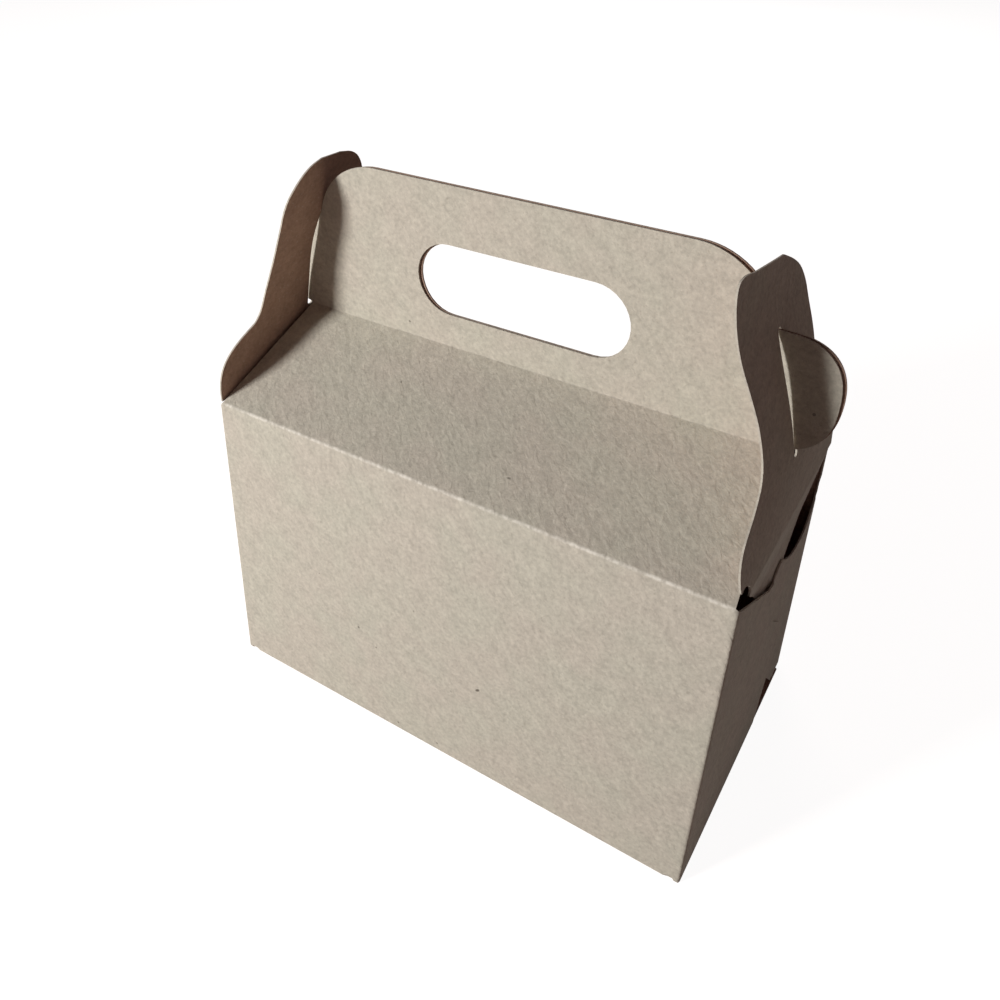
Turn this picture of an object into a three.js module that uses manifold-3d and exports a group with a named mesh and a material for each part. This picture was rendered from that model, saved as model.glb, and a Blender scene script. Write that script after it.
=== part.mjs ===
// Kraft lunch box: a gable box folded from one sheet of board, with a carrying handle on its ridge.
// The base carries two leaning walls. Each wall goes on into a roof panel and a handle panel, and the
// two handle panels stand face to face. Wings on the walls close the sides over a side panel that
// rises from the base, and a closing flap on each side panel hooks its slit over the handle's tabs.
// Millimetres, +Z up, front wall towards -Y, origin on the ground under the middle of the base.
import * as THREE from "three";
import { mergeVertices } from "three/addons/utils/BufferGeometryUtils.js";
import Module from "manifold-3d";

const wasm = await Module();
wasm.setup();

// The board
const board = 0.6;
const layerGap = 0.3;
const foldGap = 0.3;

// Walls and roof
const width = 200;
const baseDepth = 113.6;
const eaveDepth = 96;
const eaveHeight = 120.6;
const roofRise = 23.2;
const ridgeInset = 6.2;
const eaveInset = 1.3;

// Handle panels, with their ends leaning inwards as a run for each unit of height
const handleHeight = 59.8;
const handleCornerRadius = 26;
const handleEndLean = 0.258;
const gripLength = 81.6;
const gripHeight = 26.4;
const gripAboveRidge = 12.6;

// Tabs at both ends of the handle
const tabReach = 13;
const tabLength = 37;
const tabHeight = 38;
const tabAboveRidge = 0.5;

// Wings on the walls, measured back from the wall's eave corner
const wingFootGap = 0.8;
const wingReach = 73.5;
const wingHeelRun = 6;
const wingHeelTop = 19;
const wingStepHeight = 52;
const wingNotchDepth = 14;
const wingNotchHeight = 64;
const wingSideHeight = 84;
const wingSideReach = 49;
const wingShoulderReach = 39;
const wingShoulderHeight = 96;

// Where the back wings differ: scooped out under the eave, and lifted off the base
const scoopRootHeight = 103;
const scoopReach = 12;
const scoopHeight = 82.5;
const liftStartReach = 3;
const liftReach = 25;
const liftHeight = 25;

// Side panels, which bend outwards above the wings
const sideFootHalf = 18;
const waistHalf = 13;
const waistHeight = 94;
const bendHeight = 104;
const creaseHalf = 43;
const creaseSpread = 1.8;

// Closing flaps, which rise from a crease, bend inwards, and stand up again towards the tip
const flapEarGap = 0.8;
const flapEarRise = 23;
const flapShoulderHeight = 15;
const flapNeckHalf = 22.6;
const flapNeckHeight = 37;
const flapHeadHalf = 24;
const flapHeadHeight = 60;
const flapCrownHalf = 17;
const flapCrownDrop = 9;
const flapTopHalf = 9;
const flapBendLength = 60;
const flapTipLength = 24.5;
const flapCreaseLean = THREE.MathUtils.degToRad(6);
const flapBendLean = THREE.MathUtils.degToRad(21);
const flapTipLean = THREE.MathUtils.degToRad(6);
const flapSteps = 8;
const slitSideGap = 0.55;
const slitHeadGap = 0.8;
const slitFootGap = 1.7;

// Worked out from the sizes above
const ridgeHeight = eaveHeight + roofRise;
const topHeight = ridgeHeight + handleHeight;
const layerStep = board + layerGap;
const layerMiddle = layerStep / 2;
const frontHalf = width / 2;
const backHalf = frontHalf - layerStep;
const sideHalf = backHalf - layerStep;
const ridgeHalf = frontHalf - ridgeInset;
const tabFoot = ridgeHeight + tabAboveRidge;
const slitWidth = 2 * board + layerGap + 2 * slitSideGap;
const creaseOuter = sideHalf + creaseSpread;
const baseHalf = baseDepth / 2;
const eaveHalf = eaveDepth / 2;
const wallLean = (baseHalf - eaveHalf) / eaveHeight;
const past = 10;

// A line of points, each a pair of numbers.
function line(pairs) {
  return pairs.map(([a, b]) => new THREE.Vector2(a, b));
}

// A closed body that can be cut and joined.
function toSolid(geometry) {
  geometry.deleteAttribute("normal");
  geometry.deleteAttribute("uv");
  const merged = mergeVertices(geometry, 1e-5);
  const vertProperties = new Float32Array(merged.attributes.position.array);
  const triVerts = new Uint32Array(merged.index.array);
  return new wasm.Manifold(new wasm.Mesh({ numProp: 3, vertProperties, triVerts }));
}

function toGeometry(solid) {
  const mesh = solid.getMesh();
  const geometry = new THREE.BufferGeometry();
  geometry.setAttribute("position", new THREE.BufferAttribute(new Float32Array(mesh.vertProperties), 3));
  geometry.setIndex(new THREE.BufferAttribute(new Uint32Array(mesh.triVerts), 1));
  geometry.computeVertexNormals();
  return geometry;
}

// An outline drawn in Y and Z, carried along X.
function alongX(shape, fromX, toX) {
  const geometry = new THREE.ExtrudeGeometry(shape, { depth: toX - fromX, bevelEnabled: false });
  const yAxis = new THREE.Vector3(0, 1, 0);
  const zAxis = new THREE.Vector3(0, 0, 1);
  const xAxis = new THREE.Vector3(1, 0, 0);
  geometry.applyMatrix4(new THREE.Matrix4().makeBasis(yAxis, zAxis, xAxis));
  geometry.translate(fromX, 0, 0);
  return toSolid(geometry);
}

// An outline drawn in X and Z, carried along Y to both sides of the middle.
function alongY(shape, half) {
  const geometry = new THREE.ExtrudeGeometry(shape, { depth: 2 * half, bevelEnabled: false });
  geometry.rotateX(Math.PI / 2);
  geometry.translate(0, half, 0);
  return toSolid(geometry);
}

// The section of a folded sheet: a line given half the board's thickness to each side.
function ribbon(path) {
  const left = [];
  const right = [];
  path.forEach((point, i) => {
    const back = path[Math.max(i - 1, 0)];
    const ahead = path[Math.min(i + 1, path.length - 1)];
    const leaving = ahead.clone().sub(point).normalize();
    const arriving = i > 0 ? point.clone().sub(back).normalize() : leaving;
    const turn = i < path.length - 1 ? arriving.clone().add(leaving) : arriving;
    const normal = new THREE.Vector2(-turn.y, turn.x).normalize();
    const reach = board / 2 / (normal.x * -arriving.y + normal.y * arriving.x);
    left.push(point.clone().addScaledVector(normal, reach));
    right.push(point.clone().addScaledVector(normal, -reach));
  });
  return new THREE.Shape([...left, ...right.reverse()]);
}

// The outer face of a wall at a height, as a distance from the middle plane.
function wallFace(height) {
  return baseHalf - wallLean * height;
}

// One wall with its roof panel and its handle panel, drawn from the front. The roof's ends are set in
// from the wall's edges, which leaves room for the flaps' ears.
function wallOutline(half) {
  const endAngle = Math.atan(handleEndLean);
  const arcHeight = topHeight - handleCornerRadius;
  const endShift = (arcHeight - ridgeHeight) * Math.sin(endAngle);
  const arcReach = ridgeHalf - (handleCornerRadius + endShift) / Math.cos(endAngle);
  const shape = new THREE.Shape();
  shape.moveTo(-half, 0);
  shape.lineTo(half, 0);
  shape.lineTo(half, eaveHeight);
  shape.lineTo(half - eaveInset, eaveHeight);
  shape.lineTo(ridgeHalf, ridgeHeight);
  shape.absarc(arcReach, arcHeight, handleCornerRadius, endAngle, Math.PI / 2, false);
  shape.absarc(-arcReach, arcHeight, handleCornerRadius, Math.PI / 2, Math.PI - endAngle, false);
  shape.lineTo(-ridgeHalf, ridgeHeight);
  shape.lineTo(-half + eaveInset, eaveHeight);
  shape.lineTo(-half, eaveHeight);
  return shape;
}

function tabOutline() {
  const shape = new THREE.Shape();
  const middle = tabFoot + tabHeight / 2;
  const centre = ridgeHalf + tabReach - tabLength / 2;
  shape.absellipse(centre, middle, tabLength / 2, tabHeight / 2, 0, 2 * Math.PI, false, 0);
  return shape;
}

function gripOutline() {
  const radius = gripHeight / 2;
  const reach = gripLength / 2 - radius;
  const middle = ridgeHeight + gripAboveRidge + radius;
  const shape = new THREE.Shape();
  shape.absarc(reach, middle, radius, -Math.PI / 2, Math.PI / 2, false);
  shape.absarc(-reach, middle, radius, Math.PI / 2, 3 * Math.PI / 2, false);
  return shape;
}

// A wall, its roof panel and its handle panel as one folded sheet. Side is -1 in front and 1 behind.
function foldedWall(half, side) {
  const path = line([
    [side * layerMiddle, topHeight + past],
    [side * layerMiddle, ridgeHeight],
    [side * (eaveHalf - board / 2), eaveHeight],
    [side * (wallFace(-past) - board / 2), -past],
  ]);
  const sheet = alongX(ribbon(path), -width, width);
  const tab = alongY(tabOutline(), baseDepth);
  const outline = alongY(wallOutline(half), baseDepth).add(tab).add(tab.mirror([1, 0, 0]));
  return sheet.intersect(outline).subtract(alongY(gripOutline(), baseDepth));
}

// The free edge that both kinds of wing share, from its lowest point up to the shoulder: a notch
// where the opposite wing locks, and a rounded shoulder.
function wingEdge(shape) {
  shape.lineTo(-eaveHalf + wingReach, wingStepHeight);
  shape.lineTo(-eaveHalf + wingReach - wingNotchDepth, wingNotchHeight);
  shape.lineTo(-eaveHalf + wingSideReach, wingSideHeight);
  shape.quadraticCurveTo(-eaveHalf + wingSideReach, wingShoulderHeight,
    -eaveHalf + wingShoulderReach, wingShoulderHeight);
}

// A front wing, seen from the side: a heel cut off at the foot, and a top edge that slopes up from
// the shoulder to the eave.
function frontWingOutline() {
  const inside = board / 2;
  const shape = new THREE.Shape();
  shape.moveTo(-wallFace(wingFootGap) + inside, wingFootGap);
  shape.lineTo(-eaveHalf + wingReach - wingHeelRun, wingFootGap);
  shape.lineTo(-eaveHalf + wingReach, wingHeelTop);
  wingEdge(shape);
  shape.lineTo(-eaveHalf + inside, eaveHeight);
  return shape;
}

// A back wing, drawn on the front wall: its foot rises off the base, and its top edge is scooped out
// between the shoulder and the wall.
function backWingOutline() {
  const inside = board / 2;
  const shape = new THREE.Shape();
  shape.moveTo(-wallFace(wingFootGap) + inside, wingFootGap);
  shape.lineTo(-eaveHalf + liftStartReach, wingFootGap);
  shape.lineTo(-eaveHalf + liftReach, liftHeight);
  shape.lineTo(-eaveHalf + wingReach, liftHeight);
  wingEdge(shape);
  shape.quadraticCurveTo(-eaveHalf + (scoopReach + wingShoulderReach) / 2, scoopHeight,
    -eaveHalf + scoopReach, scoopHeight);
  shape.quadraticCurveTo(-eaveHalf, scoopHeight, -wallFace(scoopRootHeight) + inside, scoopRootHeight);
  return shape;
}

// A side panel's outline: a strip up the middle of the side, which the wings close over, and which
// spreads from its waist to the crease of its closing flap.
function sideOutline() {
  return new THREE.Shape(line([
    [-sideFootHalf, 0], [sideFootHalf, 0], [waistHalf, waistHeight], [creaseHalf, eaveHeight],
    [-creaseHalf, eaveHeight], [-waistHalf, waistHeight],
  ]));
}

function sidePanel() {
  const middle = sideHalf - board / 2;
  const path = line([
    [middle, -past],
    [middle, bendHeight],
    [middle + creaseSpread, eaveHeight],
    [middle + creaseSpread, eaveHeight + past],
  ]);
  return alongY(ribbon(path), baseDepth).intersect(alongX(sideOutline(), 0, width));
}

function basePlate() {
  const half = baseHalf - board / 2;
  const geometry = new THREE.BoxGeometry(2 * sideHalf, 2 * half, board);
  geometry.translate(0, 0, board / 2);
  return toSolid(geometry);
}

function boxBody() {
  const wing = alongX(frontWingOutline(), frontHalf - board, frontHalf);
  const backWing = alongX(backWingOutline(), backHalf - board, backHalf).mirror([0, 1, 0]);
  const side = sidePanel();
  return [wing, backWing, side].reduce(
    (body, piece) => body.add(piece).add(piece.mirror([1, 0, 0])),
    foldedWall(frontHalf, -1).add(foldedWall(backHalf, 1)).add(basePlate()),
  );
}

// A stretch of a flap that bends evenly from one lean to another, added to the line so far.
function bend(path, length, fromLean, toLean) {
  const start = path[path.length - 1];
  const radius = length / (toLean - fromLean);
  for (let i = 1; i <= flapSteps; i += 1) {
    const lean = fromLean + (toLean - fromLean) * i / flapSteps;
    const x = radius * (Math.cos(fromLean) - Math.cos(lean));
    const z = radius * (Math.sin(lean) - Math.sin(fromLean));
    path.push(new THREE.Vector2(start.x - x, start.y + z));
  }
}

// The line that the middle of a flap's board follows in X and Z, from its crease to its tip.
function flapPath() {
  const path = line([[creaseOuter - board / 2, eaveHeight]]);
  bend(path, flapBendLength, flapCreaseLean, flapBendLean);
  bend(path, flapTipLength, flapBendLean, flapTipLean);
  return path;
}

// A flap's outline, seen from the side: ears over the ends of the roof, a neck, and a round head.
function flapOutline(top) {
  const ear = eaveHalf - flapEarGap;
  const foot = eaveHeight + foldGap;
  const head = eaveHeight + flapHeadHeight;
  const half = new THREE.Path();
  half.moveTo(ear, foot);
  half.bezierCurveTo(ear, foot + flapEarRise, flapNeckHalf, foot + flapShoulderHeight,
    flapNeckHalf, eaveHeight + flapNeckHeight);
  half.lineTo(flapHeadHalf, head);
  half.bezierCurveTo(flapHeadHalf, top - flapCrownDrop, flapCrownHalf, top, flapTopHalf, top);
  const near = half.getPoints();
  const far = near.map((point) => new THREE.Vector2(-point.x, point.y)).reverse();
  return new THREE.Shape([...near, ...far]);
}

// The slit of a flap, a little longer than the tabs that pass through it.
function slitOutline() {
  const radius = slitWidth / 2;
  const low = tabFoot - slitFootGap + radius;
  const high = tabFoot + tabHeight + slitHeadGap - radius;
  const shape = new THREE.Shape();
  shape.absarc(0, high, radius, 0, Math.PI, false);
  shape.absarc(0, low, radius, Math.PI, 2 * Math.PI, false);
  return shape;
}

function closingFlap() {
  const path = flapPath();
  const outline = alongX(flapOutline(path[path.length - 1].y), 0, width);
  return alongY(ribbon(path), baseDepth).intersect(outline).subtract(alongX(slitOutline(), 0, width));
}

function kraft(name, solid, color) {
  const material = new THREE.MeshStandardMaterial({ color, roughness: 0.92, metalness: 0 });
  const mesh = new THREE.Mesh(toGeometry(solid), material);
  mesh.name = name;
  return mesh;
}

const box = new THREE.Group();
box.add(kraft("box_body", boxBody(), 0xb8a78c));
const flap = closingFlap();
box.add(kraft("right_closing_flap", flap, 0xa8926f));
box.add(kraft("left_closing_flap", flap.mirror([1, 0, 0]), 0xa8926f));
export default box;
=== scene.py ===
# Kraft lunch box, dressed on its CAD frame. Metres, +Z up, front wall towards -Y.
import math
import bpy
import numpy as np
from mathutils import Matrix, Vector
from mathutils.geometry import delaunay_2d_cdt


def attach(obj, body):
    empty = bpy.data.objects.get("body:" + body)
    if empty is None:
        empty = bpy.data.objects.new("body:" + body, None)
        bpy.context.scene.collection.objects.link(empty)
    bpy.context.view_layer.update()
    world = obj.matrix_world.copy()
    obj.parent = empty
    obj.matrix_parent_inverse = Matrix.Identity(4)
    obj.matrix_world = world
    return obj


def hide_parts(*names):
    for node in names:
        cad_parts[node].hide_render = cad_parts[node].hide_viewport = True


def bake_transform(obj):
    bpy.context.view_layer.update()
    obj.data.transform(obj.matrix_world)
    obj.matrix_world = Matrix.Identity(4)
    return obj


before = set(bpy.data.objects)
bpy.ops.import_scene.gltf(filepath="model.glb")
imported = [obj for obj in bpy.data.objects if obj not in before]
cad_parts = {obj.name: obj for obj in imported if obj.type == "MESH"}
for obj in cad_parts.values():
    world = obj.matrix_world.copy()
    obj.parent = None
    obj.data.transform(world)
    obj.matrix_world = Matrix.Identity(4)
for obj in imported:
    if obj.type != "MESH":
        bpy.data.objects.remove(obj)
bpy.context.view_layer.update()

# The folded sheet, as in the CAD model
sheet = {
    "board": 0.0006,
    "layerGap": 0.0003,
    "foldRadius": 0.0006,
    "foldGap": 0.0003,
    "width": 0.200,
    "baseDepth": 0.1136,
    "eaveDepth": 0.096,
    "eaveHeight": 0.1206,
    "roofRise": 0.0232,
    "ridgeInset": 0.0062,
    "eaveInset": 0.0013,
    "handleHeight": 0.0598,
    "gridStep": 0.004,
    "flapGridStep": 0.003,
    "edgeStep": 0.003,
    "flapEdgeStep": 0.0025,
    "trimClearance": 0.00045,
    "foldLineReach": 0.003,
    # Width of the folds' pale band: cracks with a painted highlight
    "crackAndHighlightWidth": 0.0009,
    "baseInset": 0.0012,
    "foldEase": 0.0002,
    "foldStep": 0.0008,
    "netScale": 5.0,
}
ridgeHeight = sheet["eaveHeight"] + sheet["roofRise"]
topHeight = ridgeHeight + sheet["handleHeight"]
layerStep = sheet["board"] + sheet["layerGap"]
frontHalf = sheet["width"] / 2
backHalf = frontHalf - layerStep
sideHalf = backHalf - layerStep
ridgeHalf = frontHalf - sheet["ridgeInset"]
wallLean = math.atan((sheet["baseDepth"] - sheet["eaveDepth"]) / 2 / sheet["eaveHeight"])


def filletedPath(corners, radius, steps=6):
    # A polyline whose inner corners are arcs of the given radius. Returns points and their run along it.
    corners = np.asarray(corners, float)
    points = [corners[0]]
    for before, corner, after in zip(corners[:-2], corners[1:-1], corners[2:]):
        a = (before - corner) / np.linalg.norm(before - corner)
        b = (after - corner) / np.linalg.norm(after - corner)
        halfAngle = math.acos(np.clip(a @ b, -1, 1)) / 2
        cut = radius / math.tan(halfAngle)
        middle = (a + b) / np.linalg.norm(a + b)
        centre = corner + middle * radius / math.sin(halfAngle)
        start, end = corner + a * cut - centre, corner + b * cut - centre
        turn = math.acos(np.clip(start @ end / radius ** 2, -1, 1))
        t = np.linspace(0, 1, steps + 1)[:, None]
        points.extend(centre + (np.sin((1 - t) * turn) * start + np.sin(t * turn) * end) / math.sin(turn))
    points.append(corners[-1])
    points = np.array(points)
    run = np.concatenate([[0], np.cumsum(np.linalg.norm(np.diff(points, axis=0), axis=1))])
    return points, run


def insideRing(points, ring):
    # True where a point lies inside a closed ring: an odd count of crossings of a ray towards +u.
    a, b = ring, np.roll(ring, -1, axis=0)
    inside = np.zeros(len(points), bool)
    for (ax, ay), (bx, by) in zip(a, b):
        if ay == by:
            continue
        crosses = (ay > points[:, 1]) != (by > points[:, 1])
        reach = ax + (points[:, 1] - ay) * (bx - ax) / (by - ay)
        inside ^= crosses & (points[:, 0] < reach)
    return inside


def ringDistance(points, ring):
    # Distance from each point to the nearest stretch of a ring.
    nearest = np.full(len(points), 1.0)
    for a, b in zip(ring, np.roll(ring, -1, axis=0)):
        along = b - a
        t = np.clip((points - a) @ along / max(along @ along, 1e-12), 0, 1)
        nearest = np.minimum(nearest, np.linalg.norm(points - a - t[:, None] * along, axis=1))
    return nearest


def finer(ring, step):
    # The ring with its long stretches divided, so that a bent sheet's edge bends with it.
    pieces = []
    for a, b in zip(ring, np.roll(ring, -1, axis=0)):
        count = max(1, int(math.ceil(np.linalg.norm(b - a) / step)))
        pieces.append(a + (b - a) * (np.arange(count) / count)[:, None])
    return np.concatenate(pieces)


def trimmedNet(rings, uLines, vLines):
    # A grid of the two net coordinates, trimmed by an outer ring and by holes.
    outer, holes = rings[0], rings[1:]
    u, v = np.meshgrid(uLines, vLines)
    grid = np.stack([u.ravel(), v.ravel()], axis=1)
    keep = insideRing(grid, outer)
    for hole in holes:
        keep &= ~insideRing(grid, hole)
    grid = grid[keep]
    for ring in rings:
        grid = grid[ringDistance(grid, ring) > sheet["trimClearance"]]
    coords, edges, start = [grid], [], len(grid)
    for ring in rings:
        count = len(ring)
        index = start + np.arange(count)
        edges += list(zip(index.tolist(), np.roll(index, -1).tolist()))
        coords.append(ring)
        start += count
    flat = [Vector(p) for p in np.concatenate(coords).tolist()]
    made = delaunay_2d_cdt(flat, edges, [], 0, 1e-7)
    net = np.array([tuple(p) for p in made[0]])
    faces = np.array([f for f in made[2] if len(f) == 3])
    centres = net[faces].mean(axis=1)
    keep = insideRing(centres, outer)
    for hole in holes:
        keep &= ~insideRing(centres, hole)
    return net, faces[keep]


def boardMesh(name, net, faces, place, foldLines, insideFirst):
    # Gives a placed net the board's thickness: point + normal * thickness / 2 on both faces, with a
    # strip of edge all round. place turns net coordinates into points. Material slots: outer face,
    # inner face, edge.
    nudge = 2e-5
    points = place(net)
    alongU = place(net + [nudge, 0]) - place(net - [nudge, 0])
    alongV = place(net + [0, nudge]) - place(net - [0, nudge])
    normal = np.cross(alongU, alongV)
    normal /= np.linalg.norm(normal, axis=1)[:, None]
    half = sheet["board"] / 2
    count = len(net)
    pairs = np.concatenate([faces[:, [0, 1]], faces[:, [1, 2]], faces[:, [2, 0]]])
    keys = np.sort(pairs, axis=1)
    _, index, times = np.unique(keys, axis=0, return_index=True, return_counts=True)
    rim = pairs[index[times == 1]]
    flip = np.cross(net[faces[:, 1]] - net[faces[:, 0]], net[faces[:, 2]] - net[faces[:, 0]]) < 0
    faces = np.where(flip[:, None], faces[:, ::-1], faces)
    rimFlip = flip[np.tile(np.arange(len(faces)), 3)[index[times == 1]]]
    rim = np.where(rimFlip[:, None], rim[:, ::-1], rim)
    quads = np.stack([rim[:, 1], rim[:, 0], rim[:, 0] + count, rim[:, 1] + count], axis=1)
    mesh = bpy.data.meshes.new(name)
    allPoints = np.concatenate([points + normal * half, points - normal * half])
    polygons = faces.tolist() + (faces[:, ::-1] + count).tolist() + quads.tolist()
    mesh.from_pydata(allPoints.tolist(), [], polygons)
    materialIndex = np.zeros(len(polygons), np.int32)
    inner = slice(0, len(faces)) if insideFirst else slice(len(faces), 2 * len(faces))
    materialIndex[inner] = 1
    materialIndex[2 * len(faces):] = 2
    mesh.polygons.foreach_set("material_index", materialIndex)
    loops = np.zeros(len(mesh.loops), np.int32)
    mesh.loops.foreach_get("vertex_index", loops)
    layer = mesh.uv_layers.new(name="net")
    layer.data.foreach_set("uv", (net[loops % count] * sheet["netScale"]).ravel().astype(np.float32))
    fold = mesh.attributes.new("fold", "FLOAT", "POINT")
    nearness = foldNearness(net, foldLines)
    fold.data.foreach_set("value", np.concatenate([nearness, nearness]).astype(np.float32))
    mesh.polygons.foreach_set("use_smooth", np.ones(len(polygons), bool))
    mesh.update()
    mesh.set_sharp_from_angle(angle=math.radians(40))
    piece = bpy.data.objects.new(name, mesh)
    bpy.context.scene.collection.objects.link(piece)
    return piece


def foldNearness(net, foldLines):
    # The strength of the fold's pale line, cracks with a painted highlight, falling to 0 over the width of its
    # band.
    strongest = np.zeros(len(net))
    for a, b, strength in foldLines:
        a, along = np.array(a), np.array(b) - np.array(a)
        t = np.clip((net - a) @ along / (along @ along), 0, 1)
        apart = np.linalg.norm(net - a - t[:, None] * along, axis=1)
        strongest = np.maximum(strongest, strength * np.clip(1 - apart / sheet["crackAndHighlightWidth"], 0, 1))
    return strongest


def linesAround(low, high, step, folds):
    # Evenly spaced lines, with close ones on both sides of each fold.
    beside = (0.0003, 0.0006, 0.001, 0.002)
    lines = list(np.arange(low, high + step, step))
    for fold in folds:
        lines = [line for line in lines if abs(line - fold) > sheet["foldLineReach"]]
        lines += [fold - d for d in reversed(beside)] + [fold] + [fold + d for d in beside]
    return np.array(sorted(lines))


print("stage: the box's sheet")

# The walls, roof and handle in one strip, with wings on the walls
handle = {
    "cornerRadius": 0.026,
    "endLean": 0.258,
    "gripLength": 0.0816,
    "gripHeight": 0.0264,
    "gripAboveRidge": 0.0126,
    "tabReach": 0.0125,
    "tabLength": 0.037,
    "tabHeight": 0.038,
    "tabAboveRidge": 0.0005,
    "tabPower": 2.5,
    "topSplay": 0.00025,
    "backSlip": 0.0009,
}
wing = {
    "footGap": 0.0008,
    "reach": 0.0735,
    "heelRun": 0.006,
    "heelTop": 0.019,
    "stepHeight": 0.052,
    "notchDepth": 0.014,
    "notchHeight": 0.064,
    "sideHeight": 0.084,
    "sideReach": 0.049,
    "shoulderReach": 0.039,
    "shoulderHeight": 0.096,
}
backWing = {
    "rootHeight": 0.103,
    "rootEase": 0.0004,
    "scoopReach": 0.012,
    "scoopHeight": 0.0842,
    "liftStartReach": 0.003,
    "liftReach": 0.025,
    "liftHeight": 0.025,
}
base = {"lipBack": 0.0530, "lipFront": 0.0206}
paperBow = {"wall": 0.0009, "roof": 0.0005, "handle": 0.0004}

halfBoard = sheet["board"] / 2
baseHalf = sheet["baseDepth"] / 2
eaveHalf = sheet["eaveDepth"] / 2
tabFoot = ridgeHeight + handle["tabAboveRidge"]
stripCorners = [
    (0, halfBoard),
    (baseHalf - halfBoard, halfBoard),
    (eaveHalf - halfBoard, sheet["eaveHeight"]),
    (layerStep / 2, ridgeHeight),
    (layerStep / 2, topHeight),
]
stripPoints, stripRun = filletedPath(stripCorners, sheet["foldRadius"])


def runAtCorner(corner):
    # The strip's run where it passes nearest to one of its corners.
    return stripRun[np.argmin(np.linalg.norm(stripPoints - stripCorners[corner], axis=1))]


footRun, eaveRun, ridgeRun = (runAtCorner(i) for i in (1, 2, 3))
topRun = stripRun[-1]
rootRun = footRun + backWing["rootHeight"] / math.cos(wallLean) + backWing["rootEase"]


def handleHalf(height):
    # Half the handle's length at a height: a leaning end, a round corner, and the tab where it is wider.
    # The tab's end is a superellipse: its height and length over their halves, each to tabPower, add up to 1.
    lean = math.atan(handle["endLean"])
    radius = handle["cornerRadius"]
    arcHeight = topHeight - radius
    arcReach = ridgeHalf - (radius + (arcHeight - ridgeHeight) * math.sin(lean)) / math.cos(lean)
    straight = ridgeHalf - (height - ridgeHeight) * math.tan(lean)
    up = np.clip(height - arcHeight, 0, radius)
    arc = arcReach + np.sqrt(radius ** 2 - up ** 2)
    panel = np.where(height > arcHeight + radius * math.sin(lean), arc, straight)
    middle = tabFoot + handle["tabHeight"] / 2
    part = 1 - np.abs((height - middle) / (handle["tabHeight"] / 2)) ** handle["tabPower"]
    tabShare = np.clip(part, 0, 1) ** (1 / handle["tabPower"])
    tab = ridgeHalf + handle["tabReach"] - handle["tabLength"] / 2 * (1 - tabShare)
    return np.where(part > -1e-9, np.maximum(panel, tab), panel)


def pulled(a, b, c, count=9):
    # A curve from a to c pulled by b: the weights are (1-t)^2, 2t(1-t) and t^2.
    t = np.linspace(0, 1, count)[:, None]
    a, b, c = (np.array(p, float) for p in (a, b, c))
    return (1 - t) ** 2 * a + 2 * t * (1 - t) * b + t ** 2 * c


def wallEdge(height):
    # How far back from the eave the wall's edge lies at a height.
    return -(baseHalf - halfBoard - eaveHalf) + height * math.tan(wallLean)


def wingRing(half, behind):
    # The wing's free edge in net coordinates, from the eave down to the foot: its points in the side
    # plane, turned by the wall's lean about the foot of the wall's edge.
    shoulder = (wing["shoulderReach"], wing["shoulderHeight"])
    parts = []
    if behind:
        scoop = (backWing["scoopReach"], backWing["scoopHeight"])
        root = (wallEdge(backWing["rootHeight"]), backWing["rootHeight"])
        parts += [pulled(root, (0, scoop[1]), scoop)]
        parts += [pulled(scoop, ((scoop[0] + shoulder[0]) / 2, scoop[1]), shoulder)]
    parts += [pulled(shoulder, (wing["sideReach"], shoulder[1]), (wing["sideReach"], wing["sideHeight"]))]
    parts += [[(wing["reach"] - wing["notchDepth"], wing["notchHeight"]), (wing["reach"], wing["stepHeight"])]]
    if behind:
        parts += [[(wing["reach"], backWing["liftHeight"]), (backWing["liftReach"], backWing["liftHeight"]),
                   (backWing["liftStartReach"], wing["footGap"])]]
    else:
        parts += [[(wing["reach"], wing["heelTop"]), (wing["reach"] - wing["heelRun"], wing["footGap"])]]
    edge = np.concatenate([np.array(part, float) for part in parts]) - [eaveHalf, 0]
    foot = np.array([-baseHalf + halfBoard, 0])
    up = np.array([math.sin(wallLean), math.cos(wallLean)])
    inward = np.array([math.cos(wallLean), -math.sin(wallLean)])
    away = np.maximum((edge - foot) @ inward, 0)
    rise = (edge - foot) @ up
    return np.stack([half + away, footRun + rise], axis=1)


def quarterRing(half, behind):
    # One quarter of the strip's outline, from the middle of the handle's top to the middle of the base.
    middle = tabFoot + handle["tabHeight"] / 2
    swing = np.linspace(math.pi / 2, -math.pi / 2, 41)
    tabHeights = middle + handle["tabHeight"] / 2 * np.sin(swing)
    arcHeights = topHeight - handle["cornerRadius"] * (1 - np.sin(np.linspace(math.pi / 2, 0.19, 16)))
    heights = np.concatenate([arcHeights, tabHeights])
    handleEdge = np.stack([handleHalf(heights), topRun - topHeight + heights], axis=1)
    ease, step = sheet["foldEase"], sheet["foldStep"]
    eaveEnd = half - sheet["eaveInset"]
    corners = np.array([[ridgeHalf, ridgeRun], [eaveEnd, eaveRun + ease], [half, eaveRun - ease]])
    baseEdge = sideHalf - sheet["baseInset"]
    foot = [[half, footRun + wing["footGap"]], [half, footRun], [baseEdge, footRun - step]]
    if behind:
        # Under the lifted part of the back wing the base reaches out as far as the front wing
        lip = sheet["width"] / 2 - sheet["foldGap"]
        foot += [[baseEdge, base["lipBack"]], [lip, base["lipBack"] - step],
                 [lip, base["lipFront"] + step], [baseEdge, base["lipFront"]]]
    return np.concatenate([handleEdge, corners, wingRing(half, behind), np.array(foot)])


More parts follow.
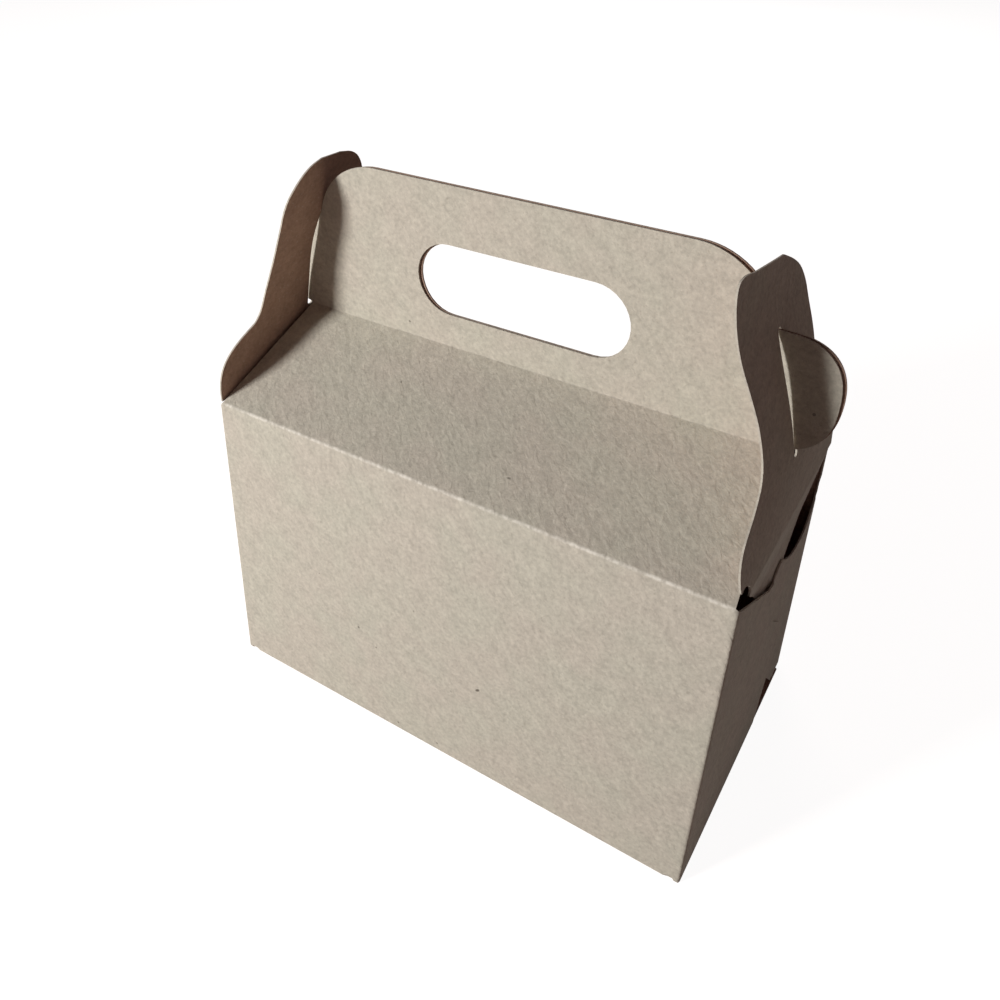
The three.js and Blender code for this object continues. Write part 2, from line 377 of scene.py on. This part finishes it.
def stripRings():
    # The whole outline: the front quarter at negative runs, the back one at positive runs, mirrored in u.
    front = quarterRing(frontHalf, False) * [1, -1]
    back = quarterRing(backHalf, True)[::-1]
    right = np.concatenate([front, back])
    outer = np.concatenate([right, right[::-1] * [-1, 1]])
    radius = handle["gripHeight"] / 2
    reach = handle["gripLength"] / 2 - radius
    middle = topRun - topHeight + ridgeHeight + handle["gripAboveRidge"] + radius
    turn = np.linspace(-math.pi / 2, math.pi / 2, 17)
    end = np.stack([reach + radius * np.cos(turn), radius * np.sin(turn)], axis=1)
    grip = np.concatenate([end, -end])
    step = sheet["edgeStep"]
    return [finer(outer, step)] + [finer(grip + [0, side * middle], step) for side in (-1, 1)]


def placeStrip(net):
    # Across: u is x, until the wall's edge bends round a small radius and runs inwards as a wing.
    # Along: v follows the strip's section, mirrored for the front. A slow bow lifts each panel.
    u, v = net[:, 0], net[:, 1]
    side = np.where(v < 0, -1.0, 1.0)
    run = np.abs(v)
    half = np.where(v < 0, frontHalf, backHalf) - halfBoard
    y = np.interp(run, stripRun, stripPoints[:, 0])
    z = np.interp(run, stripRun, stripPoints[:, 1])
    radius = sheet["foldRadius"]
    over = np.abs(u) - (half - radius)
    bends = (over > 0) & (run > footRun - 1e-6) & (run < eaveRun + 1e-6)
    turn = np.clip(over / radius, 0, math.pi / 2)
    deep = radius * (1 - np.cos(turn)) + np.maximum(over - radius * math.pi / 2, 0)
    x = np.where(bends, np.sign(u) * (half - radius + radius * np.sin(turn)), u)
    wallY = baseHalf - halfBoard - (run - footRun) * math.sin(wallLean)
    wallZ = (run - footRun) * math.cos(wallLean)
    y = np.where(bends, wallY - deep * math.cos(wallLean), y)
    z = np.where(bends, wallZ - deep * math.sin(wallLean), z)
    plain = bends & (v > 0) & (run > rootRun)
    x = np.where(plain, u, x)
    slip = np.clip((run - ridgeRun) / 0.02, 0, 1) * np.where(v < 0, 0, handle["backSlip"])
    points = np.stack([x + slip, y * side, z], axis=1)
    return points + stripBow(u, run, side)


def stripBow(u, run, side):
    # Each panel bows by a half sine across and along, and the two handle layers part a little on top.
    across = np.cos(np.clip(u / frontHalf, -1, 1) * math.pi / 2)
    wallPart = np.sin(np.clip((run - footRun) / (eaveRun - footRun), 0, 1) * math.pi)
    roofPart = np.sin(np.clip((run - eaveRun) / (ridgeRun - eaveRun), 0, 1) * math.pi)
    topPart = np.clip((run - ridgeRun) / (topRun - ridgeRun), 0, 1)
    out = paperBow["wall"] * wallPart * across - paperBow["roof"] * roofPart * across
    wave = paperBow["handle"] * np.sin(topPart * math.pi) * np.sin(u / 0.045)
    out = out * side + handle["topSplay"] * topPart ** 2 * side + wave * 0.5
    lift = np.zeros_like(out)
    return np.stack([lift, out, lift], axis=1)


# Each fold with the strength of its pale line, cracks and a painted highlight; the eave's is strongest
stripFolds = []
for sign in (-1, 1):
    wallHalf = frontHalf if sign < 0 else backHalf
    eave, ridge, foot = sign * eaveRun, sign * ridgeRun, sign * footRun
    stripFolds += [
        ((-wallHalf, eave), (wallHalf, eave), 1.0),
        ((-ridgeHalf, ridge), (ridgeHalf, ridge), 0.25),
        ((-wallHalf, foot), (wallHalf, foot), 0.6),
        ((wallHalf, foot), (wallHalf, eave), 0.35),
        ((-wallHalf, foot), (-wallHalf, eave), 0.35),
    ]
uLines = linesAround(-0.190, 0.190, sheet["gridStep"], [-frontHalf, frontHalf])
vFolds = [s * r for s in (-1, 1) for r in (footRun, eaveRun, ridgeRun)]
vLines = linesAround(-topRun, topRun, sheet["gridStep"], vFolds)
stripNet, stripFaces = trimmedNet(stripRings(), uLines, vLines)
boxSheet = boardMesh("box_sheet", stripNet, stripFaces, placeStrip, stripFolds, True)
print("stage: the box's sheet has", len(boxSheet.data.polygons), "faces")

# The side panels with their closing flaps
sidePanel = {
    "footHalf": 0.018,
    "waistHalf": 0.0145,
    "waistHeight": 0.093,
    "bendHeight": 0.104,
    "creaseHalf": 0.043,
    "creaseSpread": 0.0018,
}
flap = {
    "earGap": 0.0008,
    "bendLength": 0.060,
    "tipLength": 0.0245,
    "crownReach": 0.005,
    "creaseLean": math.radians(6),
    "bendLean": math.radians(21),
    "tipLean": math.radians(6),
    "slitHalf": 0.0013,
    "slitHeadGap": 0.0008,
    "slitFootGap": 0.0017,
    "warpRise": 0.024,
    "bendBelow": 0.0006,
    "bendAbove": 0.0002,
}
# Differences between the two flaps. The corners of the front foot are half widths and heights. The
# shoulder's curve and the head's corners are half widths and heights above the crease. The rest is
# how far the slit gapes and how the sheet has warped.
rightFlap = {
    "frontFoot": ((0.0250, 0.1070), (0.0375, 0.1170), (0.0392, 0.1232), (0.0435, 0.1262), (0.0466, 0.1250)),
    "shoulder": ((0.0472, 0.0075), (0.0472, 0.0240), (0.0240, 0.0153), (0.0240, 0.0373)),
    "frontHead": ((0.0240, 0.044), (0.0262, 0.057), (0.0274, 0.068), (0.0274, 0.078), (0.0262, 0.0842),
                  (0.0215, 0.0850), (0.0160, 0.0838)),
    "backHead": ((0.0243, 0.044), (0.0262, 0.052), (0.0266, 0.062), (0.0262, 0.067), (0.0225, 0.0725),
                 (0.0160, 0.0768), (0.0068, 0.0811)),
    "slitPull": 0.0012, "lift": 0.0008, "twist": 0.0010, "cup": 0.0004, "warpHalf": 0.0246,
}
leftFlap = {
    "frontFoot": (),
    "shoulder": ((0.0472, 0.0010), (0.0485, 0.0174), (0.0400, 0.0209), (0.0295, 0.0264)),
    "frontHead": ((0.0268, 0.0300), (0.0254, 0.036), (0.0224, 0.050), (0.0219, 0.060), (0.0206, 0.0705),
                  (0.0147, 0.0773), (0.0084, 0.0816), (0.0020, 0.0832)),
    "backHead": ((0.0268, 0.0300), (0.0254, 0.036), (0.0224, 0.050), (0.0219, 0.060), (0.0209, 0.0700),
                 (0.0196, 0.0765), (0.0155, 0.0815), (0.0080, 0.0830)),
    "slitPull": 0.0013, "lift": 0.0, "twist": 0.0, "cup": 0.0, "warpHalf": 0.0214,
}


def flapLine():
    # A flap's section from the crease: two stretches of even bending, x = integral of the lean's sine,
    # and a straight end for the crown.
    length = flap["bendLength"] + flap["tipLength"]
    run = np.linspace(0, length, 160)
    lean = np.interp(run, [0, flap["bendLength"], length],
                     [flap["creaseLean"], flap["bendLean"], flap["tipLean"]])
    step = np.diff(run)
    middle = (lean[1:] + lean[:-1]) / 2
    x = np.concatenate([[0], np.cumsum(np.sin(middle) * step)])
    z = np.concatenate([[0], np.cumsum(np.cos(middle) * step)])
    x = np.append(x, x[-1] + math.sin(lean[-1]) * flap["crownReach"])
    z = np.append(z, z[-1] + math.cos(lean[-1]) * flap["crownReach"])
    return np.stack([sideHalf - halfBoard + sidePanel["creaseSpread"] - x, sheet["eaveHeight"] + z], axis=1)


def sideSection():
    # The section from the base's end up the side panel and on through its flap, with rounded folds.
    start = sideHalf - sheet["baseInset"]
    lower = [
        (start, halfBoard),
        (sideHalf - halfBoard, halfBoard),
        (sideHalf - halfBoard, sidePanel["bendHeight"]),
        tuple(flapLine()[0]),
        tuple(flapLine()[8]),
    ]
    bend, _ = filletedPath(lower, sheet["foldRadius"])
    points = np.concatenate([bend, flapLine()[9:]])
    run = np.concatenate([[0], np.cumsum(np.linalg.norm(np.diff(points, axis=0), axis=1))])
    return points, run


sidePoints, sideRun = sideSection()
rising = np.arange(len(sidePoints)) > 6


def sideRunAt(height):
    return np.interp(height, sidePoints[rising, 1], sideRun[rising])


def bezier(a, b, c, d, count=18):
    # A cubic curve from a to d, pulled by b and c.
    t = np.linspace(0, 1, count)[:, None]
    a, b, c, d = (np.array(p, float) for p in (a, b, c, d))
    return (1 - t) ** 3 * a + 3 * t * (1 - t) ** 2 * b + 3 * t ** 2 * (1 - t) * c + t ** 3 * d


def cornersCut(points, times=2):
    # Each inner corner gives way to two points, a quarter of the way along both of its sides.
    points = np.asarray(points, float)
    for _ in range(times):
        a, b = points[:-1], points[1:]
        cut = np.stack([a * 0.75 + b * 0.25, a * 0.25 + b * 0.75], axis=1).reshape(-1, 2)
        points = np.concatenate([points[:1], cut, points[-1:]])
    return points


def sideRings(own):
    # A side panel and flap in Y and height, its front half and its back half, and the slit. Heights
    # become runs.
    ear = eaveHalf - flap["earGap"]
    crease = sheet["eaveHeight"]
    earFoot = crease + sheet["foldGap"]
    strip = [(sidePanel["footHalf"], 0.0), (sidePanel["waistHalf"], sidePanel["waistHeight"])]
    plainFoot = ((sidePanel["creaseHalf"], crease), (sidePanel["creaseHalf"], earFoot), (ear, earFoot))
    shoulder = bezier(*(np.array(own["shoulder"]) + [0, crease]))
    halves = []
    for foot, head in ((own["frontFoot"], own["frontHead"]), ((), own["backHead"])):
        crown = cornersCut([shoulder[-1], *(np.array(head) + [0, crease])])
        start = cornersCut([strip[1], *foot, shoulder[0]])[1:-1] if foot else plainFoot
        half = np.concatenate([strip, start, shoulder[:-1], crown])
        half[:, 1] = sideRunAt(half[:, 1])
        half[0, 1] = 0
        halves.append(half)
    outer = np.concatenate([halves[1], halves[0][::-1] * [-1, 1]])
    radius = flap["slitHalf"]
    low = tabFoot - flap["slitFootGap"] + radius
    high = tabFoot + handle["tabHeight"] + flap["slitHeadGap"] - radius
    turn = np.linspace(0, math.pi, 9)
    ends = np.stack([radius * np.cos(turn), radius * np.sin(turn)], axis=1)
    slit = np.concatenate([ends + [0, high], -ends + [0, low]])
    slit = finer(slit, sheet["edgeStep"])
    up = np.clip((slit[:, 1] - low) / (high - low), 0, 1)
    slit[:, 0] -= np.where(slit[:, 0] < 0, own["slitPull"] * np.sin(up ** 2 * math.pi), 0)
    slit[:, 1] = sideRunAt(slit[:, 1])
    return [finer(outer, sheet["flapEdgeStep"]), slit]


def sideSheet(name, side, own):
    # u is Y and v runs up the section. Above the crease the flap is lifted off the handle by
    # lift + twist * y - cup * y^2, with y in half widths and a smooth rise from the crease.
    def place(net):
        u, v = net[:, 0], net[:, 1]
        x = np.interp(v, sideRun, sidePoints[:, 0])
        z = np.interp(v, sideRun, sidePoints[:, 1])
        rise = np.clip((z - crease) / flap["warpRise"], 0, 1)
        rise = rise * rise * (3 - 2 * rise)
        across = np.clip(u / own["warpHalf"], -1.2, 1.2)
        warp = own["lift"] + own["twist"] * across - own["cup"] * across ** 2
        return np.stack([side * (x + warp * rise), u, z], axis=1)

    crease = sheet["eaveHeight"]
    creaseRun = sideRunAt(crease)
    bendRun = sideRunAt(sidePanel["bendHeight"])
    step = sheet["flapGridStep"]
    uLines = linesAround(-0.060, 0.060, step, [])
    vLines = linesAround(0, sideRun[-1], step, [sideRun[6], bendRun, creaseRun])
    net, faces = trimmedNet(sideRings(own), uLines, vLines)
    # The side's folds with the strength of their pale line: cracks and a painted highlight
    folds = [((-sidePanel["creaseHalf"], creaseRun), (sidePanel["creaseHalf"], creaseRun), 0.4),
             ((-baseHalf, sideRun[4]), (baseHalf, sideRun[4]), 0.5)]
    return boardMesh(name, net, faces, place, folds, side < 0)


print("stage: the closing flaps")
rightSheet = sideSheet("right_side_and_flap", 1, rightFlap)
leftSheet = sideSheet("left_side_and_flap", -1, leftFlap)

# The board: grey-tan recycled fibre with mottling, short fibres, specks, and pale folds with cracks and a
# painted highlight. The inner side is browner and darker, a tone that holds painted shade besides the board's
# own colour. Sizes are in millimetres on the flat sheet.
kraft = {
    "greenTan": (0.518, 0.484, 0.399),
    "pinkTan": (0.528, 0.478, 0.399),
    # The inner faces' colour: the board's own colour, darkened and reddened with painted shade
    "innerShadedTan": (0.405, 0.268, 0.200),
    "edgeTan": (0.56, 0.515, 0.43),
    "pulpShare": 0.62,
    "fibreRelief": 0.06,
    "pulpRelief": 0.35,
    "speckScale": 22.0,
    "speckSize": 0.062,
    "speckAmount": 0.6,
    "shadeOfPulp": 0.84,
    "lightOfPulp": 1.12,
    "tintSize": 26.0,
    "flockSize": 4.2,
    "pulpSize": 1.5,
    "pepperSize": 1.0,
    "reliefSize": 2.3,
    "reliefDepth": 0.32,
    "fibreAmount": 0.21,
    "crackAndHighlightAmount": 0.62,
    "paleFibre": (0.78, 0.71, 0.60),
    "darkFibre": (0.25, 0.20, 0.15),
    "speck": (0.10, 0.085, 0.065),
    # The folds' pale line: cracks in the fibre and a painted highlight
    "foldCrackAndHighlightColour": (0.86, 0.81, 0.72),
    "roughness": 0.9,
}
# Single marks on the outer face: place on the flat sheet, half length, half width and turn
marks = [
    {"u": 0.0176, "run": -(footRun + 0.0428), "long": 0.00115, "wide": 0.00062, "turn": -0.7, "depth": 0.85},
    {"u": 0.0063, "run": -(footRun + 0.0356), "long": 0.0007, "wide": 0.0004, "turn": 0.6, "depth": 0.35},
    {"u": -0.0103, "run": -(footRun + 0.0654), "long": 0.0005, "wide": 0.0005, "turn": 0.0, "depth": 0.4},
    {"u": 0.0188, "run": -(eaveRun + 0.0122), "long": 0.0008, "wide": 0.0004, "turn": 0.1, "depth": 0.6},
]
ringMark = {"u": -0.0266, "run": -(topRun - 0.0067), "long": 0.0020, "wide": 0.0023, "turn": 0.0, "depth": 0.3}


class Nodes:
    # Short calls for adding and joining shader nodes.
    def __init__(self, material):
        material.use_nodes = True
        self.tree = material.node_tree
        self.tree.nodes.clear()

    def add(self, kind, inputs=None, **settings):
        node = self.tree.nodes.new(kind)
        for key, value in settings.items():
            setattr(node, key, value)
        for key, value in (inputs or {}).items():
            if isinstance(value, bpy.types.NodeSocket):
                self.tree.links.new(value, node.inputs[key])
            else:
                node.inputs[key].default_value = value
        return node

    def maths(self, operation, a, b=0.0, clamp=False):
        return self.add("ShaderNodeMath", {0: a, 1: b}, operation=operation, use_clamp=clamp).outputs[0]

    def ramp(self, value, low, high):
        # 0 at low and below, 1 at high and above
        return self.add("ShaderNodeMapRange", {0: value, 1: low, 2: high, 3: 0.0, 4: 1.0}).outputs[0]

    def mix(self, amount, a, b):
        node = self.add("ShaderNodeMix", {0: amount}, data_type="RGBA")
        for key, value in ((6, a), (7, b)):
            if isinstance(value, bpy.types.NodeSocket):
                self.tree.links.new(value, node.inputs[key])
            else:
                node.inputs[key].default_value = (*value, 1)
        return node.outputs[2]


def grain(nodes, place, size, detail, offset=0.0, stretch=1.0, turn=0.0, twist=0.0):
    # Noise whose patches are about size millimetres, and longer by stretch along a turned direction.
    unit = sheet["netScale"] * size / 1000
    moved = nodes.add("ShaderNodeMapping", {"Vector": place, "Location": (offset, offset * 0.7, 0),
                                            "Rotation": (0, 0, turn), "Scale": (unit * stretch, unit, 1)},
                      vector_type="TEXTURE")
    noise = nodes.add("ShaderNodeTexNoise", {"Vector": moved.outputs[0], "Scale": 1.0, "Detail": detail,
                                             "Roughness": 0.55, "Distortion": twist})
    return noise.outputs[0]


def markMask(nodes, place, mark):
    # How far a point lies from the mark's middle, as a share of its half length and half width.
    scale = sheet["netScale"]
    near = nodes.add("ShaderNodeMapping", {
        "Vector": place, "Location": (mark["u"] * scale, mark["run"] * scale, 0),
        "Rotation": (0, 0, mark["turn"]),
        "Scale": (mark["long"] * scale, mark["wide"] * scale, 1)}, vector_type="TEXTURE")
    return nodes.add("ShaderNodeVectorMath", {0: near.outputs[0]}, operation="LENGTH").outputs[1]


def kraftMaterial(name, ground):
    # Colour: a ground tint, pulp in three sizes, pale and dark fibres, specks, and pale folds with cracks and a
    # painted highlight.
    # Relief: flattened flocks of fibre about two millimetres across.
    material = bpy.data.materials.new(name)
    nodes = Nodes(material)
    place = nodes.add("ShaderNodeUVMap", uv_map="net").outputs[0]
    tint = nodes.ramp(grain(nodes, place, kraft["tintSize"], 2.0), 0.38, 0.62)
    colour = nodes.mix(tint, *ground)
    pulp = grain(nodes, place, kraft["pulpSize"], 3.0, 1.7)
    flocks = grain(nodes, place, kraft["flockSize"], 2.0, 4.1, 1.5, 0.8)
    shade = nodes.maths("ADD", nodes.maths("MULTIPLY", nodes.ramp(pulp, 0.28, 0.72), kraft["pulpShare"]),
                        nodes.maths("MULTIPLY", nodes.ramp(flocks, 0.3, 0.7), 1 - kraft["pulpShare"]))
    level = nodes.add("ShaderNodeMapRange", {0: shade, 1: 0.15, 2: 0.85, 3: kraft["shadeOfPulp"],
                                             4: kraft["lightOfPulp"]}).outputs[0]
    colour = nodes.add("ShaderNodeVectorMath", {0: colour, 1: level}, operation="MULTIPLY").outputs[0]
    darkPepper = nodes.ramp(grain(nodes, place, kraft["pepperSize"], 0.5, 8.3), 0.67, 0.76)
    palePepper = nodes.ramp(grain(nodes, place, kraft["pepperSize"], 0.5, 12.9), 0.68, 0.77)
    pale, dark = palePepper, darkPepper
    for i, turn in enumerate((0.2, 1.15, 2.2, 2.9)):
        paleOne = nodes.ramp(grain(nodes, place, 0.32, 1.0, 3.1 + i, 7.0, turn, 0.5), 0.70, 0.80)
        darkOne = nodes.ramp(grain(nodes, place, 0.30, 1.0, 17.0 + i, 6.0, turn + 0.5, 0.5), 0.71, 0.80)
        pale = nodes.maths("MAXIMUM", pale, paleOne)
        dark = nodes.maths("MAXIMUM", dark, darkOne)
    colour = nodes.mix(nodes.maths("MULTIPLY", pale, kraft["fibreAmount"]), colour, kraft["paleFibre"])
    colour = nodes.mix(nodes.maths("MULTIPLY", dark, kraft["fibreAmount"]), colour, kraft["darkFibre"])
    specks = nodes.add("ShaderNodeTexVoronoi", {"Vector": place, "Scale": kraft["speckScale"], "Randomness": 1.0})
    chosen = nodes.add("ShaderNodeSeparateColor", {0: specks.outputs[1]})
    size = nodes.maths("MULTIPLY", nodes.ramp(chosen.outputs[0], 0.70, 1.0), kraft["speckSize"])
    speck = nodes.maths("MULTIPLY", nodes.maths("LESS_THAN", specks.outputs[0], size), kraft["speckAmount"])
    for mark in marks:
        flaw = nodes.maths("MULTIPLY", nodes.ramp(markMask(nodes, place, mark), 1.1, 0.6), mark["depth"])
        speck = nodes.maths("MAXIMUM", speck, flaw)
    ring = nodes.maths("ABSOLUTE", nodes.maths("SUBTRACT", markMask(nodes, place, ringMark), 1.0))
    ring = nodes.maths("MULTIPLY", nodes.ramp(ring, 0.30, 0.05), nodes.ramp(flocks, 0.42, 0.6))
    speck = nodes.maths("MAXIMUM", speck, nodes.maths("MULTIPLY", ring, ringMark["depth"]))
    colour = nodes.mix(speck, colour, kraft["speck"])
    # The folds' pale lines: cracks with a painted highlight, broken up by the pulp
    fold = nodes.add("ShaderNodeAttribute", attribute_name="fold").outputs[2]
    broken = nodes.maths("MULTIPLY", nodes.ramp(pulp, 0.26, 0.60), nodes.ramp(flocks, 0.24, 0.52))
    crackedAndHighlit = nodes.maths("MULTIPLY", nodes.ramp(fold, 0.2, 0.9), broken)
    colour = nodes.mix(nodes.maths("MULTIPLY", crackedAndHighlit, kraft["crackAndHighlightAmount"]), colour, kraft["foldCrackAndHighlightColour"])
    relief = nodes.maths("ADD", grain(nodes, place, kraft["reliefSize"], 2.5, 21.0, 1.6, 0.8, 0.4),
                         nodes.maths("MULTIPLY", pulp, kraft["pulpRelief"]))
    fibres = nodes.maths("MULTIPLY", nodes.maths("SUBTRACT", pale, dark), kraft["fibreRelief"])
    bump = nodes.add("ShaderNodeBump", {"Height": nodes.maths("ADD", relief, fibres), "Strength": 1.0,
                                        "Distance": kraft["reliefDepth"] / 1000})
    shader = nodes.add("ShaderNodeBsdfPrincipled", {"Base Color": colour, "Normal": bump.outputs[0]})
    shader.inputs["Roughness"].default_value = kraft["roughness"]
    shader.inputs["Specular IOR Level"].default_value = 0.25
    nodes.add("ShaderNodeOutputMaterial", {"Surface": shader.outputs[0]})
    return material


boardFaces = [
    kraftMaterial("kraft_board_outside", (kraft["greenTan"], kraft["pinkTan"])),
    # The inner faces carry painted shade in their darker, redder colour
    kraftMaterial("kraft_board_inside", (kraft["innerShadedTan"], kraft["innerShadedTan"])),
    kraftMaterial("kraft_board_edge", (kraft["edgeTan"], kraft["edgeTan"])),
]
for piece, slot in ((boxSheet, "kraft_body"), (rightSheet, "kraft_flap"), (leftSheet, "kraft_flap")):
    for material in boardFaces:
        piece.data.materials.append(material)
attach(boxSheet, "box")
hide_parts("box_body")
for piece, body, node, side in ((rightSheet, "right_flap", "right_closing_flap", 1),
                                (leftSheet, "left_flap", "left_closing_flap", -1)):
    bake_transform(piece)
    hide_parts(node)

print("stage: floor, lights and camera")

studio = {
    "keyDirection": (-0.515, -0.82, 0.27),
    "keyDistance": 1.2,
    "keySize": 0.27,
    "keyEnergy": 14.6,
    "fillDirection": (-0.45, 0.80, 0.40),
    "fillDistance": 1.8,
    "fillSize": 1.0,
    "fillEnergy": 4.6,
    "worldColour": (1.0, 0.60, 0.57),
    "worldStrength": 0.047,
    "sideDirection": (0.92, -0.08, 0.50),
    "sideDistance": 1.6,
    "sideSize": 0.8,
    "sideEnergy": 0.52,
    "sideColour": (1.0, 0.60, 0.56),
    "floorColour": (0.43, 0.36, 0.335),
    "floorGlow": 0.94,
    "floorHalf": 3.0,
}


def areaLamp(name, direction, distance, size, energy, colour=(1, 1, 1)):
    lamp = bpy.data.lights.new(name, "AREA")
    lamp.energy = energy
    lamp.color = colour
    lamp.size = size
    thing = bpy.data.objects.new(name, lamp)
    bpy.context.scene.collection.objects.link(thing)
    along = Vector(direction).normalized()
    target = Vector((0, 0, topHeight / 2))
    thing.location = target + along * distance
    thing.rotation_euler = along.to_track_quat("Z", "Y").to_euler()


areaLamp("key", studio["keyDirection"], studio["keyDistance"], studio["keySize"], studio["keyEnergy"])
areaLamp("back_fill", studio["fillDirection"], studio["fillDistance"], studio["fillSize"], studio["fillEnergy"])
areaLamp("side_fill", studio["sideDirection"], studio["sideDistance"], studio["sideSize"], studio["sideEnergy"],
         studio["sideColour"])

world = bpy.data.worlds.new("studio")
bpy.context.scene.world = world
worldNodes = Nodes(world)
rays = worldNodes.add("ShaderNodeLightPath")
soft = worldNodes.add("ShaderNodeBackground", {"Color": (*studio["worldColour"], 1),
                                               "Strength": studio["worldStrength"]})
white = worldNodes.add("ShaderNodeBackground", {"Color": (1, 1, 1, 1), "Strength": 1.0})
seen = worldNodes.maths("ADD", rays.outputs["Is Camera Ray"], rays.outputs["Is Glossy Ray"], clamp=True)
seen = worldNodes.maths("ADD", seen, rays.outputs["Is Transmission Ray"], clamp=True)
both = worldNodes.add("ShaderNodeMixShader", {0: seen, 1: soft.outputs[0], 2: white.outputs[0]})
worldNodes.add("ShaderNodeOutputWorld", {"Surface": both.outputs[0]})

half = studio["floorHalf"]
floorMesh = bpy.data.meshes.new("floor")
floorCorners = [(-half, -half, 0), (half, -half, 0), (half, half, 0), (-half, half, 0)]
floorMesh.from_pydata(floorCorners, [], [(0, 1, 2, 3)])
floor = bpy.data.objects.new("floor", floorMesh)
bpy.context.scene.collection.objects.link(floor)
floorMaterial = bpy.data.materials.new("studio_floor")
floorNodes = Nodes(floorMaterial)
floorRays = floorNodes.add("ShaderNodeLightPath")
matte = floorNodes.add("ShaderNodeBsdfDiffuse", {"Color": (*studio["floorColour"], 1)})
floorSeen = floorNodes.maths("ADD", floorRays.outputs["Is Camera Ray"], floorRays.outputs["Is Glossy Ray"],
                             clamp=True)
floorSeen = floorNodes.maths("ADD", floorSeen, floorRays.outputs["Is Transmission Ray"], clamp=True)
glow = floorNodes.add("ShaderNodeEmission", {
    "Color": (1, 1, 1, 1), "Strength": floorNodes.maths("MULTIPLY", floorSeen, studio["floorGlow"])})
total = floorNodes.add("ShaderNodeAddShader", {0: matte.outputs[0], 1: glow.outputs[0]})
floorNodes.add("ShaderNodeOutputMaterial", {"Surface": total.outputs[0]})
floorMesh.materials.append(floorMaterial)

# The camera: where it stands as shares of the box's width, and the photograph's frame in pixels
view = {
    "azimuth": math.radians(31.06),
    "elevation": math.radians(32.34),
    "roll": math.radians(0.73),
    "place": (0.684, -1.156, 1.494),
    "focalPixels": 892.7,
    "centrePixels": (511.8, 403.0),
    "framePixels": 1000,
}
azimuth, elevation, roll = view["azimuth"], view["elevation"], view["roll"]
back = Vector((math.sin(azimuth) * math.cos(elevation), -math.cos(azimuth) * math.cos(elevation),
               math.sin(elevation)))
level = Vector((math.cos(azimuth), math.sin(azimuth), 0))
upright = back.cross(level)
right = level * math.cos(roll) + upright * math.sin(roll)
up = upright * math.cos(roll) - level * math.sin(roll)
camera = bpy.data.objects.new("camera", bpy.data.cameras.new("camera"))
bpy.context.scene.collection.objects.link(camera)
turned = Matrix((right, up, back)).transposed().to_4x4()
camera.matrix_world = Matrix.Translation(Vector(view["place"]) * sheet["width"]) @ turned
camera.data.sensor_width = 36
camera.data.lens = view["focalPixels"] / view["framePixels"] * 36
camera.data.shift_x = (view["framePixels"] / 2 - view["centrePixels"][0]) / view["framePixels"]
camera.data.shift_y = (view["centrePixels"][1] - view["framePixels"] / 2) / view["framePixels"]
camera.data.clip_start = 0.01
bpy.context.scene.camera = camera
bpy.context.scene.view_settings.view_transform = "Standard"
